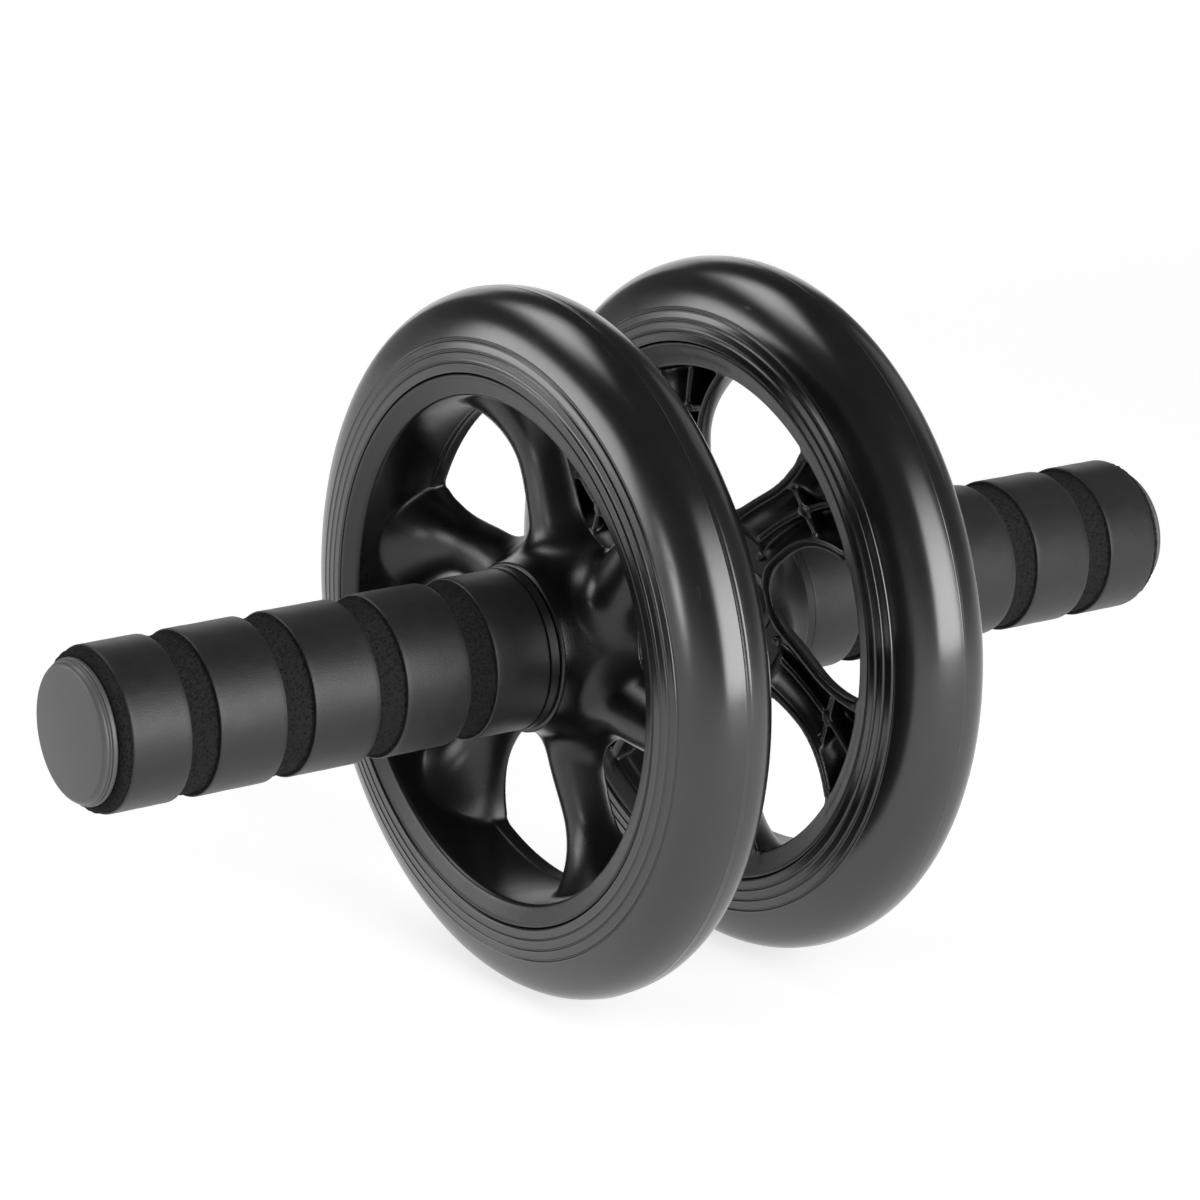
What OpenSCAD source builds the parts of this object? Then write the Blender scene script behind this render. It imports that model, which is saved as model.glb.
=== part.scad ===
// Ab wheel roller: two spoked wheels that turn freely on one axle, with a foam grip on each end.
// The axle lies along X, Z is up, and the origin is the middle of the axle.
// Each piece of a side is drawn round its own Z axis, with Z as the distance from the middle
// of the roller, and on_side() lays it along the axle.

/* [Tyre] */
// Outside diameter of a wheel over its tyre
wheel_d = 180; // [165:1:210]
// Distance between the centre planes of the two wheels
wheel_track = 64.6; // [63:0.2:90]
// Width of the oval that the tyre's outline follows
tyre_w = 27.8; // [26:0.2:30]
// Height of the tyre above its seat on the rim
tyre_h = 20.5; // [17:0.5:24]
// Depth of the oval's centre below the seat
oval_drop = 6; // [3:0.5:9]
// Roundness of the oval: 2 is an ellipse, more is squarer
oval_power = 2.5; // [2:0.1:3.2]
// Number of fine grooves on each sidewall
line_count = 3; // [0:1:4]
// Distance from the tyre's seat to the first fine groove
line_first = 2.9; // [2:0.1:4]
// Distance from one fine groove to the next
line_pitch = 2.75; // [1.8:0.05:3]
// Width of a fine groove
line_w = 0.9; // [0.5:0.1:1.2]

/* [Rim] */
// Thickness of the rim's band
band_t = 5.7; // [4.5:0.1:7.5]
// Fall of the rim's two faces from the tyre to the inner edge
face_fall = 2; // [0.5:0.1:2.5]
// Width of the key that holds the tyre on the rim
key_w = 8; // [5:0.5:12]
// Height of that key
key_h = 2; // [1:0.1:3]

/* [Spokes] */
// Number of spokes
spoke_count = 6; // [5:1:6]
// Angle of the first spoke, from +Y towards +Z
spoke_phase = 17; // [0:1:59]
// Width of a spoke at its waist
spoke_waist = 18.2; // [15:0.2:18.6]
// Width of a spoke where it meets the rim
spoke_end = 32.5; // [28:0.5:34]
// Distance from the rim's inner face to the waist
waist_in = 19.8; // [17:0.2:22]
// Depth of a spoke's crest below the rim's outer face at the waist
waist_drop = 17.9; // [17:0.1:18.4]
// Distance from the rim's back face to the edges of the openings
edge_in = 2; // [1.4:0.1:3]
// Distance from the axle to the inner end of an opening
opening_in = 31; // [30:0.5:33]
// Wall of the spokes and of the hub
skin_t = 2.5; // [1.8:0.1:2.8]
// Thickness of the ribs inside a spoke
rib_t = 1.8; // [1:0.1:2.4]
// Distance from the rim's inner face to the cross rib
rib_in = 11.8; // [7:0.2:17]
// Depth of the ribs' edges behind the edges of the openings
rib_sink = 1.5; // [0.5:0.1:3]

/* [Hub] */
// Outside diameter of the hub's neck
neck_d = 43; // [41:0.5:46]
// Distance from the middle of the roller to the outer face of the neck
neck_x = 38.2; // [37:0.2:39]
// Thickness of the hub's end wall
floor_t = 2.2; // [1.6:0.1:3.5]
// Radius of the hollow curve from the neck to the skirt
neck_curve = 13; // [10:0.5:14]
// Length of the bearing sleeve beyond the end wall
sleeve_l = 17.8; // [12:0.2:24]
// Wall of the bearing sleeve
sleeve_t = 3; // [2:0.1:3.5]
// Wall of the bush
bush_t = 3; // [2:0.1:3]
// Thickness of the bush's flange
bush_flange_t = 1.4; // [1:0.1:2.5]
// Thickness of the thrust washer
thrust_t = 1; // [0.6:0.1:2]

/* [Axle] */
// Diameter of the rod
rod_d = 10; // [8.8:0.1:11]
// Diameter of the stud at each end of the rod
stud_d = 8; // [6:0.5:8]
// Outside diameter of the spacer tube
spacer_d = 12.4; // [12.2:0.1:15]
// Outside diameter of the washer under the nut
washer_d = 16; // [15:0.5:20]
// Thickness of that washer
washer_t = 1.6; // [1:0.1:2.5]
// Width of the nut across its flats
nut_flats = 13; // [12:0.5:15]
// Thickness of the nut
nut_t = 6.5; // [4:0.1:7]

/* [Handle] */
// Length of the foam grip
grip_l = 118.7; // [105:0.1:150]
// Outside diameter of the foam grip
grip_d = 40.5; // [37:0.1:44]
// Number of recessed bands round the grip
band_count = 4; // [1:1:5]
// Width of a recessed band
recess_w = 7.6; // [4:0.1:9]
// Distance from one recessed band to the next
recess_pitch = 25.8; // [18:0.1:26]
// Depth of a recessed band
recess_h = 1.2; // [0.5:0.1:2]
// Length of the tapered outer end of the foam
foam_taper = 2.5; // [1.5:0.1:4]
// Outside diameter of the handle core
core_d = 28; // [27.4:0.1:32]
// Wall of the handle core
core_t = 2.5; // [1.8:0.1:2.5]
// Diameter of the core's collar
collar_d = 41; // [38:0.1:42]
// Thickness of that collar
collar_t = 2.3; // [1.5:0.1:4]
// Length of the core's inner boss, which the rod passes through
boss_l = 16; // [8:0.5:24]
// Thickness of the core's outer wall, which the nut clamps
web_t = 5; // [3:0.5:7]
// Depth of the recess for the nut
recess_depth = 11.4; // [10:0.1:14]

/* [Cap] */
// Diameter of the end cap
cap_d = 35.4; // [33:0.1:36]
// Height of the cap beyond the foam
cap_h = 3.9; // [3:0.1:6]
// Height of the cap's rim ring
cap_ring_h = 1.3; // [0.8:0.1:1.8]
// Width of the step between the rim ring and the face
cap_step = 0.7; // [0.3:0.1:1.5]
// Radius of the face's rounded edge
cap_edge = 1.6; // [0.6:0.1:2]
// Length of the cap's plug
plug_l = 8; // [4:0.5:8]
// Wall of the plug
plug_t = 2; // [1:0.1:2]

/* [Fits] */
// Gap round a shaft that turns
run_fit = 0.05; // [0.02:0.01:0.1]
// Gap round a piece that is pushed into another
push_fit = 0.04; // [0.02:0.01:0.1]
// Gap round the studs, washers and plugs
free_fit = 0.15; // [0.1:0.05:0.3]
// Gap between foam and what carries it
foam_fit = 0.1; // [0.05:0.05:0.3]
// End play between a wheel and what holds it
play = 0.3; // [0.2:0.05:0.5]
// Gap between the bearing sleeve and the handle core round it
sleeve_gap = 0.5; // [0.3:0.1:0.8]

/* [Hidden] */
$fn = 96;
// Overrun of a cut past the face that it opens
over = 1;

// Radii of the wheel, from the tread inwards
wheel_r = wheel_d / 2;
seat_r = wheel_r - tyre_h;
key_r = seat_r + key_h;
band_r = seat_r - band_t;
lip_r = band_r - 0.5;
// How far the lip stands clear of the spokes' edges and of the hollows behind them
lip_clear = 0.3;
clip_r = seat_r - band_t / 4;
neck_r = neck_d / 2;

// Half width of the tyre at a height above its seat
function side_at(h) = tyre_w / 2
    * pow(max(0, 1 - pow((h + oval_drop) / (tyre_h + oval_drop), oval_power)), 1 / oval_power);

// Stations of the wheel along the axle. The rim's faces are flush with the foot of the tyre
wheel_x = wheel_track / 2;
rim_half = side_at(0);
rim_face = wheel_x + rim_half;
rim_back = wheel_x - rim_half;
edge_x = rim_back + edge_in;
floor_x = neck_x - floor_t;
sleeve_end = neck_x + sleeve_l;

// A spoke is a round horn about its own axis, waisted by one arc through the waist and the rim end
pitch_angle = 360 / spoke_count;
waist_r = spoke_waist / 2;
waist_at = band_r - waist_in;
end_u = sqrt(band_r * band_r - pow(spoke_end / 2, 2));
end_run = end_u - waist_at;
end_rise = spoke_end / 2 - waist_r;
horn_arc = (end_run * end_run + end_rise * end_rise) / (2 * end_rise);
horn_x = rim_face - waist_drop - waist_r;
root_swell = 1.8;
horn_root_r = waist_r + root_swell;
function horn_flare(run) = waist_r + horn_arc - sqrt(pow(horn_arc, 2) - pow(min(run, horn_arc), 2));
function horn_r(u) = u > waist_at ? horn_flare(u - waist_at) : min(horn_root_r, horn_flare(waist_at - u));
function half_width(u) = sqrt(pow(horn_r(u), 2) - pow(edge_x - horn_x, 2));
root_u = neck_r / 2;
tip_u = (clip_r + seat_r) / 2;

// The round inner end of an opening runs into the sides of the two spokes beside it by a small bite.
// Its centre is found by rounds of correction from a first guess
side_bite = 0.4;
centre_rounds = 12;
centre_guess = 1.35;
half_pitch = pitch_angle / 2;
function end_centre(c, n) = n < 1 ? c
    : end_centre((opening_in + side_bite - half_width(c * cos(half_pitch))) / (1 - sin(half_pitch)), n - 1);
open_c = end_centre(opening_in * centre_guess, centre_rounds);
open_r = open_c - opening_in;
meet_u = open_c * cos(half_pitch);
web_r = sqrt(pow(meet_u, 2) + pow(half_width(meet_u), 2));
web_x = neck_x - floor_t / 2 - neck_curve;

// Radii and stations of the bearing
rod_r = rod_d / 2;
stud_r = stud_d / 2;
bush_bore_r = rod_r + run_fit;
bush_r = bush_bore_r + bush_t;
sleeve_bore_r = bush_r + push_fit;
sleeve_r = sleeve_bore_r + sleeve_t;
bush_in = floor_x - play;
bush_out = sleeve_end + bush_flange_t;
spacer_half = bush_in - play;
thrust_in = bush_out + play;
thrust_out = thrust_in + thrust_t;

// Radii and stations of the handle
core_r = core_d / 2;
well_r = sleeve_r + sleeve_gap;
hollow_r = core_r - core_t;
collar_in = neck_x + play;
collar_out = collar_in + collar_t;
foam_in = collar_out + foam_fit;
foam_out = foam_in + grip_l;
core_end = foam_out + foam_fit;
web_out = core_end - recess_depth;
web_in = web_out - web_t;
foam_r = grip_d / 2;
skin_end = foam_out - foam_taper;
recess_mid = (foam_in + skin_end) / 2;

// Stations of the fastening and the cap
stud_out = 1.2;
rod_chamfer = 0.8;
washer_out = web_out + washer_t;
nut_out = washer_out + nut_t;
rod_end = nut_out + stud_out;
cap_r = cap_d / 2;
cap_face = core_end + cap_h;
plug_r = hollow_r - free_fit;

// Lays a piece of the right side along the axle, and mirrors it for the left side
module on_side(side) {
    if (side > 0) rotate([90, 0, 90]) children();
    else mirror([1, 0, 0]) rotate([90, 0, 90]) children();
}

module ring(inner, outer, from, to) {
    translate([0, 0, from]) difference() {
        cylinder(r = outer, h = to - from);
        translate([0, 0, -over]) cylinder(r = inner, h = to - from + 2 * over);
    }
}

module round_the_wheel(offset_angle = 0) {
    for (i = [0 : spoke_count - 1]) rotate([0, 0, spoke_phase + offset_angle + i * pitch_angle]) children();
}

// Outline of the tread from one foot over the crown, as heights above the seat and half widths
tread_steps = 14;
foot_angle = asin(pow(oval_drop / (tyre_h + oval_drop), oval_power / 2));
tread = [for (i = [0 : tread_steps]) let (a = foot_angle + (90 - foot_angle) * i / tread_steps)
    [(tyre_h + oval_drop) * pow(sin(a), 2 / oval_power) - oval_drop,
     tyre_w / 2 * pow(max(0, cos(a)), 2 / oval_power)]];

module tyre_section() {
    difference() {
        polygon(concat(
            [for (p = tread) [seat_r + max(p[0], push_fit), p[1]]],
            [for (i = [tread_steps - 1 : -1 : 0]) [seat_r + max(tread[i][0], push_fit), -tread[i][1]]]
        ));
        translate([0, -key_w / 2 - push_fit]) square([key_r + push_fit, key_w + 2 * push_fit]);
        for (i = [0 : 1 : line_count - 1], s = [-1, 1]) {
            h = line_first + i * line_pitch;
            translate([seat_r + h, s * side_at(h)]) circle(d = line_w, $fn = 24);
        }
    }
}

module tyre() {
    color([0.15, 0.15, 0.16]) translate([0, 0, wheel_x]) rotate_extrude($fn = 180) tyre_section();
}

// Section of the rim's band, with the key on its seat and a low lip along the openings
module band_section() {
    edge = 0.5;
    lip_h = edge_in + skin_t;
    polygon([
        [lip_r, edge_x - lip_clear], [lip_r + edge, rim_back + face_fall - edge], [seat_r, rim_back],
        [seat_r, wheel_x - key_w / 2], [key_r, wheel_x - key_w / 2],
        [key_r, wheel_x + key_w / 2], [seat_r, wheel_x + key_w / 2],
        [seat_r, rim_face], [band_r + edge, rim_face - face_fall],
        [band_r, rim_face - face_fall - edge], [band_r, edge_x + lip_h], [lip_r, edge_x + lip_h - edge]
    ]);
}

// Half outline of a spoke, to be turned round the spoke's own axis. inset is the wall left outside it
module horn_section(inset) {
    difference() {
        translate([0, root_u]) square([waist_r + horn_arc, tip_u - root_u]);
        translate([waist_r - inset + horn_arc, waist_at]) circle(r = horn_arc, $fn = 180);
        translate([horn_root_r - inset, root_u - over]) square([2 * horn_arc, waist_at - root_u]);
    }
}

module horn(inset) {
    translate([0, 0, horn_x]) rotate([-90, 0, -90]) rotate_extrude() horn_section(inset);
}

// The hub: a neck that curves out into a flat web between the spokes
module hub_section(inset) {
    square([neck_r - inset, neck_x - (inset > 0 ? floor_t : 0)]);
    difference() {
        square([web_r, web_x + neck_curve]);
        translate([neck_r + neck_curve, web_x + neck_curve]) circle(r = neck_curve + inset, $fn = 120);
        translate([neck_r + neck_curve, web_x - inset]) square([web_r, neck_curve * 2]);
    }
}

module hub(inset) {
    difference() {
        rotate_extrude() intersection() {
            hub_section(inset);
            translate([0, horn_x]) square([web_r, neck_x]);
        }
        round_the_wheel(half_pitch) translate([open_c, 0, 0]) cylinder(r = open_r + inset, h = neck_x + over);
    }
}

// Ribs inside a spoke: one along it and one across it, both rooted in its wall
rib_steps = 8;
rib_edge = edge_x + rib_sink;
rib_at = band_r - rib_in;
rib_root = neck_r + skin_t;
rib_run = clip_r - rib_root;
function rib_top(u) = horn_x + horn_r(u) - skin_t / 2;

module ribs() {
    round_the_wheel() {
        rotate([90, 0, 0]) translate([0, 0, -rib_t / 2]) linear_extrude(rib_t) polygon(concat(
            [[neck_r - skin_t / 2, floor_x - skin_t], [rib_root, rib_edge + 2 * skin_t],
             [opening_in, rib_edge], [clip_r, rib_edge]],
            [for (i = [rib_steps : -1 : 0]) let (u = rib_root + rib_run * i / rib_steps) [u, rib_top(u)]]
        ));
        intersection() {
            translate([rib_at - rib_t / 2, 0, horn_x]) rotate([0, 90, 0])
                cylinder(r = rib_top(rib_at) - horn_x, h = rib_t);
            translate([rib_at - rib_t, -spoke_end / 2, rib_edge]) cube([2 * rib_t, spoke_end, rim_half]);
        }
    }
}

module rim() {
    color([0.1, 0.1, 0.11]) difference() {
        union() {
            difference() {
                union() {
                    rotate_extrude($fn = 180) band_section();
                    intersection() {
                        union() {
                            hub(0);
                            round_the_wheel() horn(0);
                        }
                        translate([0, 0, edge_x]) cylinder(r = clip_r, h = rim_face - edge_x, $fn = 180);
                    }
                    translate([0, 0, neck_x - floor_t / 2])
                        cylinder(r = sleeve_r, h = sleeve_l + floor_t / 2);
                }
                intersection() {
                    union() {
                        hub(skin_t);
                        round_the_wheel() horn(skin_t);
                    }
                    cylinder(r = lip_r - lip_clear, h = rim_face, $fn = 180);
                }
            }
            ribs();
        }
        cylinder(r = sleeve_bore_r, h = sleeve_end + over);
    }
}

module hub_bush() {
    color([0.85, 0.84, 0.8]) {
        ring(bush_bore_r, bush_r, bush_in, sleeve_end);
        ring(bush_bore_r, sleeve_r, sleeve_end, bush_out);
    }
}

module thrust_washer() {
    color([0.85, 0.84, 0.8]) ring(rod_r + free_fit, sleeve_r, thrust_in, thrust_out);
}

module handle_core() {
    color([0.16, 0.16, 0.17]) difference() {
        union() {
            translate([0, 0, collar_in]) cylinder(d = collar_d, h = collar_t);
            translate([0, 0, collar_in]) cylinder(r = core_r, h = core_end - collar_in);
        }
        translate([0, 0, collar_in - over]) cylinder(r = well_r, h = thrust_out - collar_in + over);
        cylinder(r = rod_r + run_fit, h = web_in);
        translate([0, 0, thrust_out + boss_l]) cylinder(r = hollow_r, h = web_in - thrust_out - boss_l);
        cylinder(r = stud_r + free_fit, h = core_end);
        translate([0, 0, web_out]) cylinder(r = hollow_r, h = recess_depth + over);
    }
}

module foam_grip() {
    color([0.24, 0.24, 0.25]) difference() {
        union() {
            translate([0, 0, foam_in]) cylinder(r = foam_r, h = skin_end - foam_in);
            translate([0, 0, skin_end]) cylinder(r1 = foam_r, r2 = foam_r - foam_taper, h = foam_taper);
        }
        cylinder(r = core_r + foam_fit, h = foam_out + over);
        for (i = [0 : band_count - 1]) {
            mid = recess_mid + (i - (band_count - 1) / 2) * recess_pitch;
            ring(foam_r - recess_h, foam_r + over, mid - recess_w / 2, mid + recess_w / 2);
        }
    }
}

module axle_washer() {
    color("silver") ring(stud_r + free_fit, washer_d / 2, web_out, washer_out);
}

module axle_nut() {
    color("silver") translate([0, 0, washer_out]) difference() {
        cylinder(d = nut_flats / cos(30), h = nut_t, $fn = 6);
        translate([0, 0, -over]) cylinder(r = stud_r + push_fit, h = nut_t + 2 * over);
    }
}

module end_cap() {
    color([0.32, 0.32, 0.33]) {
        rotate_extrude() {
            translate([0, core_end]) square([cap_r, cap_ring_h]);
            translate([0, core_end]) square([cap_r - cap_step - cap_edge, cap_h]);
            translate([0, core_end]) square([cap_r - cap_step, cap_h - cap_edge]);
            translate([cap_r - cap_step - cap_edge, cap_face - cap_edge]) circle(r = cap_edge);
        }
        ring(plug_r - plug_t, plug_r, core_end - plug_l, core_end);
    }
}

module axle_rod() {
    color("silver") rotate([0, 90, 0]) {
        cylinder(r = rod_r, h = 2 * web_in, center = true);
        cylinder(r = stud_r, h = 2 * (rod_end - rod_chamfer), center = true);
        for (s = [-1, 1]) rotate([s < 0 ? 180 : 0, 0, 0]) translate([0, 0, rod_end - rod_chamfer])
            cylinder(r1 = stud_r, r2 = stud_r - rod_chamfer, h = rod_chamfer);
    }
}

module centre_spacer() {
    color([0.62, 0.63, 0.65]) rotate([0, 90, 0])
        ring(rod_r + free_fit, spacer_d / 2, -spacer_half, spacer_half);
}

module left_rim() on_side(-1) rim();
module right_rim() on_side(1) rim();
module left_tyre() on_side(-1) tyre();
module right_tyre() on_side(1) tyre();
module left_hub_bush() on_side(-1) hub_bush();
module right_hub_bush() on_side(1) hub_bush();
module left_thrust_washer() on_side(-1) thrust_washer();
module right_thrust_washer() on_side(1) thrust_washer();
module left_handle_core() on_side(-1) handle_core();
module right_handle_core() on_side(1) handle_core();
module left_foam_grip() on_side(-1) foam_grip();
module right_foam_grip() on_side(1) foam_grip();
module left_axle_washer() on_side(-1) axle_washer();
module right_axle_washer() on_side(1) axle_washer();
module left_axle_nut() on_side(-1) axle_nut();
module right_axle_nut() on_side(1) axle_nut();
module left_end_cap() on_side(-1) end_cap();
module right_end_cap() on_side(1) end_cap();

axle_rod();
centre_spacer();
left_rim();
right_rim();
left_tyre();
right_tyre();
left_hub_bush();
right_hub_bush();
left_thrust_washer();
right_thrust_washer();
left_handle_core();
right_handle_core();
left_foam_grip();
right_foam_grip();
left_axle_washer();
right_axle_washer();
left_axle_nut();
right_axle_nut();
left_end_cap();
right_end_cap();
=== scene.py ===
import math

import bpy
import numpy as np
from mathutils import Matrix, Vector


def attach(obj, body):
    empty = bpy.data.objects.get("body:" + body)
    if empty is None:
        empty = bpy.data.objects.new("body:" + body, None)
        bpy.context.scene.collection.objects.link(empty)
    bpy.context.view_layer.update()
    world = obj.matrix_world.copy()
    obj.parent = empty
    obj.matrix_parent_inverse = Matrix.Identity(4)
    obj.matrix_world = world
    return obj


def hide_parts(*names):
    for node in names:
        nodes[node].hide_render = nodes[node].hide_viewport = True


# Ab wheel roller: two spoked wheels on one axle, with a foam grip on each end.
# Shapes are drawn in mm, round the axle, with x as the distance from the middle of the roller. Meshes, the
# camera, the floor and the lamps are in metres, and the textures' scales are per metre.

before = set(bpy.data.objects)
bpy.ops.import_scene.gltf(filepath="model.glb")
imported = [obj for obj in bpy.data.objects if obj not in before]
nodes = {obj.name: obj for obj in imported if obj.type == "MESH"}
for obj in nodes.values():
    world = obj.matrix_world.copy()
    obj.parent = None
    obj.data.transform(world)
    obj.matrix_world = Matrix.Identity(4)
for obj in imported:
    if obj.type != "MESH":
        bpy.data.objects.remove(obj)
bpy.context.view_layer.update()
scene = bpy.context.scene
MM = 0.001
SIDES = {"left": -1.0, "right": 1.0}


# Camera, at the photograph's angle
CAMERA_AT = Vector((-0.6106, -0.8478, 0.2966))
CAMERA_RIGHT = Vector((0.8169, -0.5768, 0.0))
CAMERA_UP = Vector((0.1545, 0.2188, 0.9635))
FOCAL_LENGTH, SENSOR_WIDTH = 128.55, 36.0
CLIP_START, CLIP_END = 0.02, 50.0


def place_camera():
    """The camera, from its place and the directions of its right and up."""
    right, up = CAMERA_RIGHT.normalized(), CAMERA_UP.normalized()
    back = right.cross(up).normalized()
    up = back.cross(right)
    cam = bpy.data.cameras.new("camera")
    cam.lens = FOCAL_LENGTH
    cam.sensor_width = SENSOR_WIDTH
    cam.sensor_fit = "HORIZONTAL"
    cam.clip_start = CLIP_START
    cam.clip_end = CLIP_END
    ob = bpy.data.objects.new("camera", cam)
    scene.collection.objects.link(ob)
    ob.matrix_world = Matrix((
        (right.x, up.x, back.x, CAMERA_AT.x),
        (right.y, up.y, back.y, CAMERA_AT.y),
        (right.z, up.z, back.z, CAMERA_AT.z),
        (0, 0, 0, 1),
    ))
    scene.camera = ob


place_camera()


# Mesh helpers
NOISE_ROWS, NOISE_COLUMNS_LEAST = 600, 8


def new_mesh(name, verts, faces):
    """A smooth mesh. verts are in metres, faces a list or an array of indices of one length."""
    me = bpy.data.meshes.new(name)
    verts = np.asarray(verts, np.float32)
    faces = np.asarray(faces, np.int32)
    n, k = faces.shape
    me.vertices.add(len(verts))
    me.vertices.foreach_set("co", verts.ravel())
    me.loops.add(n * k)
    me.loops.foreach_set("vertex_index", faces.ravel())
    me.polygons.add(n)
    me.polygons.foreach_set("loop_start", np.arange(0, n * k, k, dtype=np.int32))
    me.polygons.foreach_set("loop_total", np.full(n, k, np.int32))
    me.update(calc_edges=True)
    me.validate()
    me.polygons.foreach_set("use_smooth", np.full(len(me.polygons), True))
    ob = bpy.data.objects.new(name, me)
    scene.collection.objects.link(ob)
    return ob


def lathe(name, profile, side, segments, relief=None):
    """Turns a closed outline of (x, radius) round the axle. relief(x, angle, radius) gives an extra radius
    for each point. side is -1 for the left and 1 for the right."""
    p = np.asarray(profile, float)
    n = len(p)
    angles = np.arange(segments) * 2 * math.pi / segments
    x = np.repeat(p[:, 0][:, None], segments, 1)
    r = np.repeat(p[:, 1][:, None], segments, 1)
    a = np.repeat(angles[None, :], n, 0)
    if relief is not None:
        r = r + relief(x, a, r)
    verts = np.stack([side * x, r * np.cos(a), r * np.sin(a)], -1).reshape(-1, 3) * MM
    row, col = np.meshgrid(np.arange(n), np.arange(segments), indexing="ij")
    next_row, next_col = (row + 1) % n, (col + 1) % segments
    quads = np.stack([row * segments + col, next_row * segments + col,
                      next_row * segments + next_col, row * segments + next_col], -1).reshape(-1, 4)
    # the faces look outwards, whichever way the outline runs
    area = np.sum(p[:, 0] * np.roll(p[:, 1], -1) - np.roll(p[:, 0], -1) * p[:, 1])
    if (area > 0) != (side > 0):
        quads = quads[:, ::-1]
    return new_mesh(name, verts, quads)


def arc(x, r, rad, start, end, n):
    """Points of an arc in the (x, radius) plane, angles in degrees from +x."""
    angles = [math.radians(start + (end - start) * i / n) for i in range(n + 1)]
    return [(x + rad * math.cos(a), r + rad * math.sin(a)) for a in angles]


def ring_noise(seed, x, a, cell, radius):
    """Smooth value noise on a cylinder, with cells of that size."""
    columns = max(NOISE_COLUMNS_LEAST, int(round(2 * math.pi * radius / cell)))
    table = np.random.default_rng(seed).standard_normal((NOISE_ROWS, columns))
    along = (x / cell) % NOISE_ROWS
    around = (a / (2 * math.pi) * columns) % columns
    i0, j0 = np.floor(along).astype(int) % NOISE_ROWS, np.floor(around).astype(int) % columns
    i1, j1 = (i0 + 1) % NOISE_ROWS, (j0 + 1) % columns
    u, w = along - np.floor(along), around - np.floor(around)
    u, w = u * u * (3 - 2 * u), w * w * (3 - 2 * w)
    near = table[i0, j0] * (1 - u) + table[i1, j0] * u
    far = table[i0, j1] * (1 - u) + table[i1, j1] * u
    return near * (1 - w) + far * w


# Sizes of the wheels, as the solids have them
# the middle plane and the radius of a wheel, and the outside and inside of the band under its tyre
WHEEL_X, WHEEL_R = 32.3, 90.0
SEAT_R, BAND_R = 69.5, 63.8
# the tyre's section, an oval whose widest place lies OVAL_DROP below the seat
TYRE_W, TYRE_H = 27.8, 20.5
OVAL_DROP, OVAL_POWER = 6.0, 2.5
RIM_HALF = TYRE_W / 2 * (1 - (OVAL_DROP / (TYRE_H + OVAL_DROP)) ** OVAL_POWER) ** (1 / OVAL_POWER)
RIM_FACE, RIM_BACK = WHEEL_X + RIM_HALF, WHEEL_X - RIM_HALF
FACE_FALL = 2.0
# the spokes: their flat inner edge, their waist, their width at the band, and their middle line
EDGE_SINK, HORN_SINK = 2.0, 17.9
EDGE_X = RIM_BACK + EDGE_SINK
SPOKES, PHASE = 6, math.radians(17)
SECTOR = 2 * math.pi / SPOKES
WAIST_U, WAIST_R, SPOKE_END = 44.0, 9.1, 32.5
HORN_X = RIM_FACE - HORN_SINK - WAIST_R
# the hub's neck and its front face, the wall of the hollow spokes and hub, and the bore
NECK_R, NECK_X = 21.5, 38.2
SKIN = 2.5
BORE_R = 8.12


# Tyres. Heights are measured from the seat on the rim, and widths from the wheel's centre plane.
CROWN_H = 20.46
# samples along the outline: close ones up the grooved sidewall, wider ones over the crown
OVAL_STEPS = 160
SAMPLE_FIRST, SAMPLE_FINE, SAMPLE_STEP = 0.6, 11.2, 0.095
CROWN_SAMPLES, CROWN_GAP = 34, 0.2
GROOVES, GROOVE_FIRST, GROOVE_PITCH = 3, 2.9, 2.75
GROOVE_HALF, GROOVE_DEPTH = 0.33, 0.32
LIP_AT, LIP_WIDTH, LIP_HEIGHT = 0.47, 0.13, 0.07
# the foot's points: how far in from the lowest sample, and how high
FOOT = [(1.4, 0.12), (0.75, 0.14), (0.32, 0.26)]
FOOT_SPAN, SEAT_GAP = 3.0, 0.1
KEY_HALF, KEY_TAPER, KEY_TOP = 4.1, 0.04, 2.05
# where the mould's halves met, from the wheel's centre plane
PARTING = {"left": 1.3, "right": -0.1}
PARTING_FROM, PARTING_TO, PARTING_STEP, PARTING_DEPTH = -0.7, 1.9, 0.07, 1.2
FLASH_HEIGHT, FLASH_WIDTH = 0.08, 0.17
FLASH_SEED, FLASH_ROW, FLASH_CELL, FLASH_UNEVEN = 5, 3.0, 5.0, 0.25
# the draft acts only near the crown, and the relief moves nothing near the seat
DRAFT, DRAFT_REACH, DRAFT_BELOW, DRAFT_FADE = 0.16, 4.0, 3, 2
RELIEF_FROM = SEAT_R + 3
WAVE_SEED, WAVE_HEIGHT, WAVE_LENGTH = 6, 0.015, 24.0
TYRE_SEGMENTS = 264


def tyre_oval(a):
    """Height and half width of the oval at an angle from its widest place."""
    height = (TYRE_H + OVAL_DROP) * abs(math.sin(a)) ** (2 / OVAL_POWER) - OVAL_DROP
    return height, TYRE_W / 2 * abs(math.cos(a)) ** (2 / OVAL_POWER)


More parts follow.
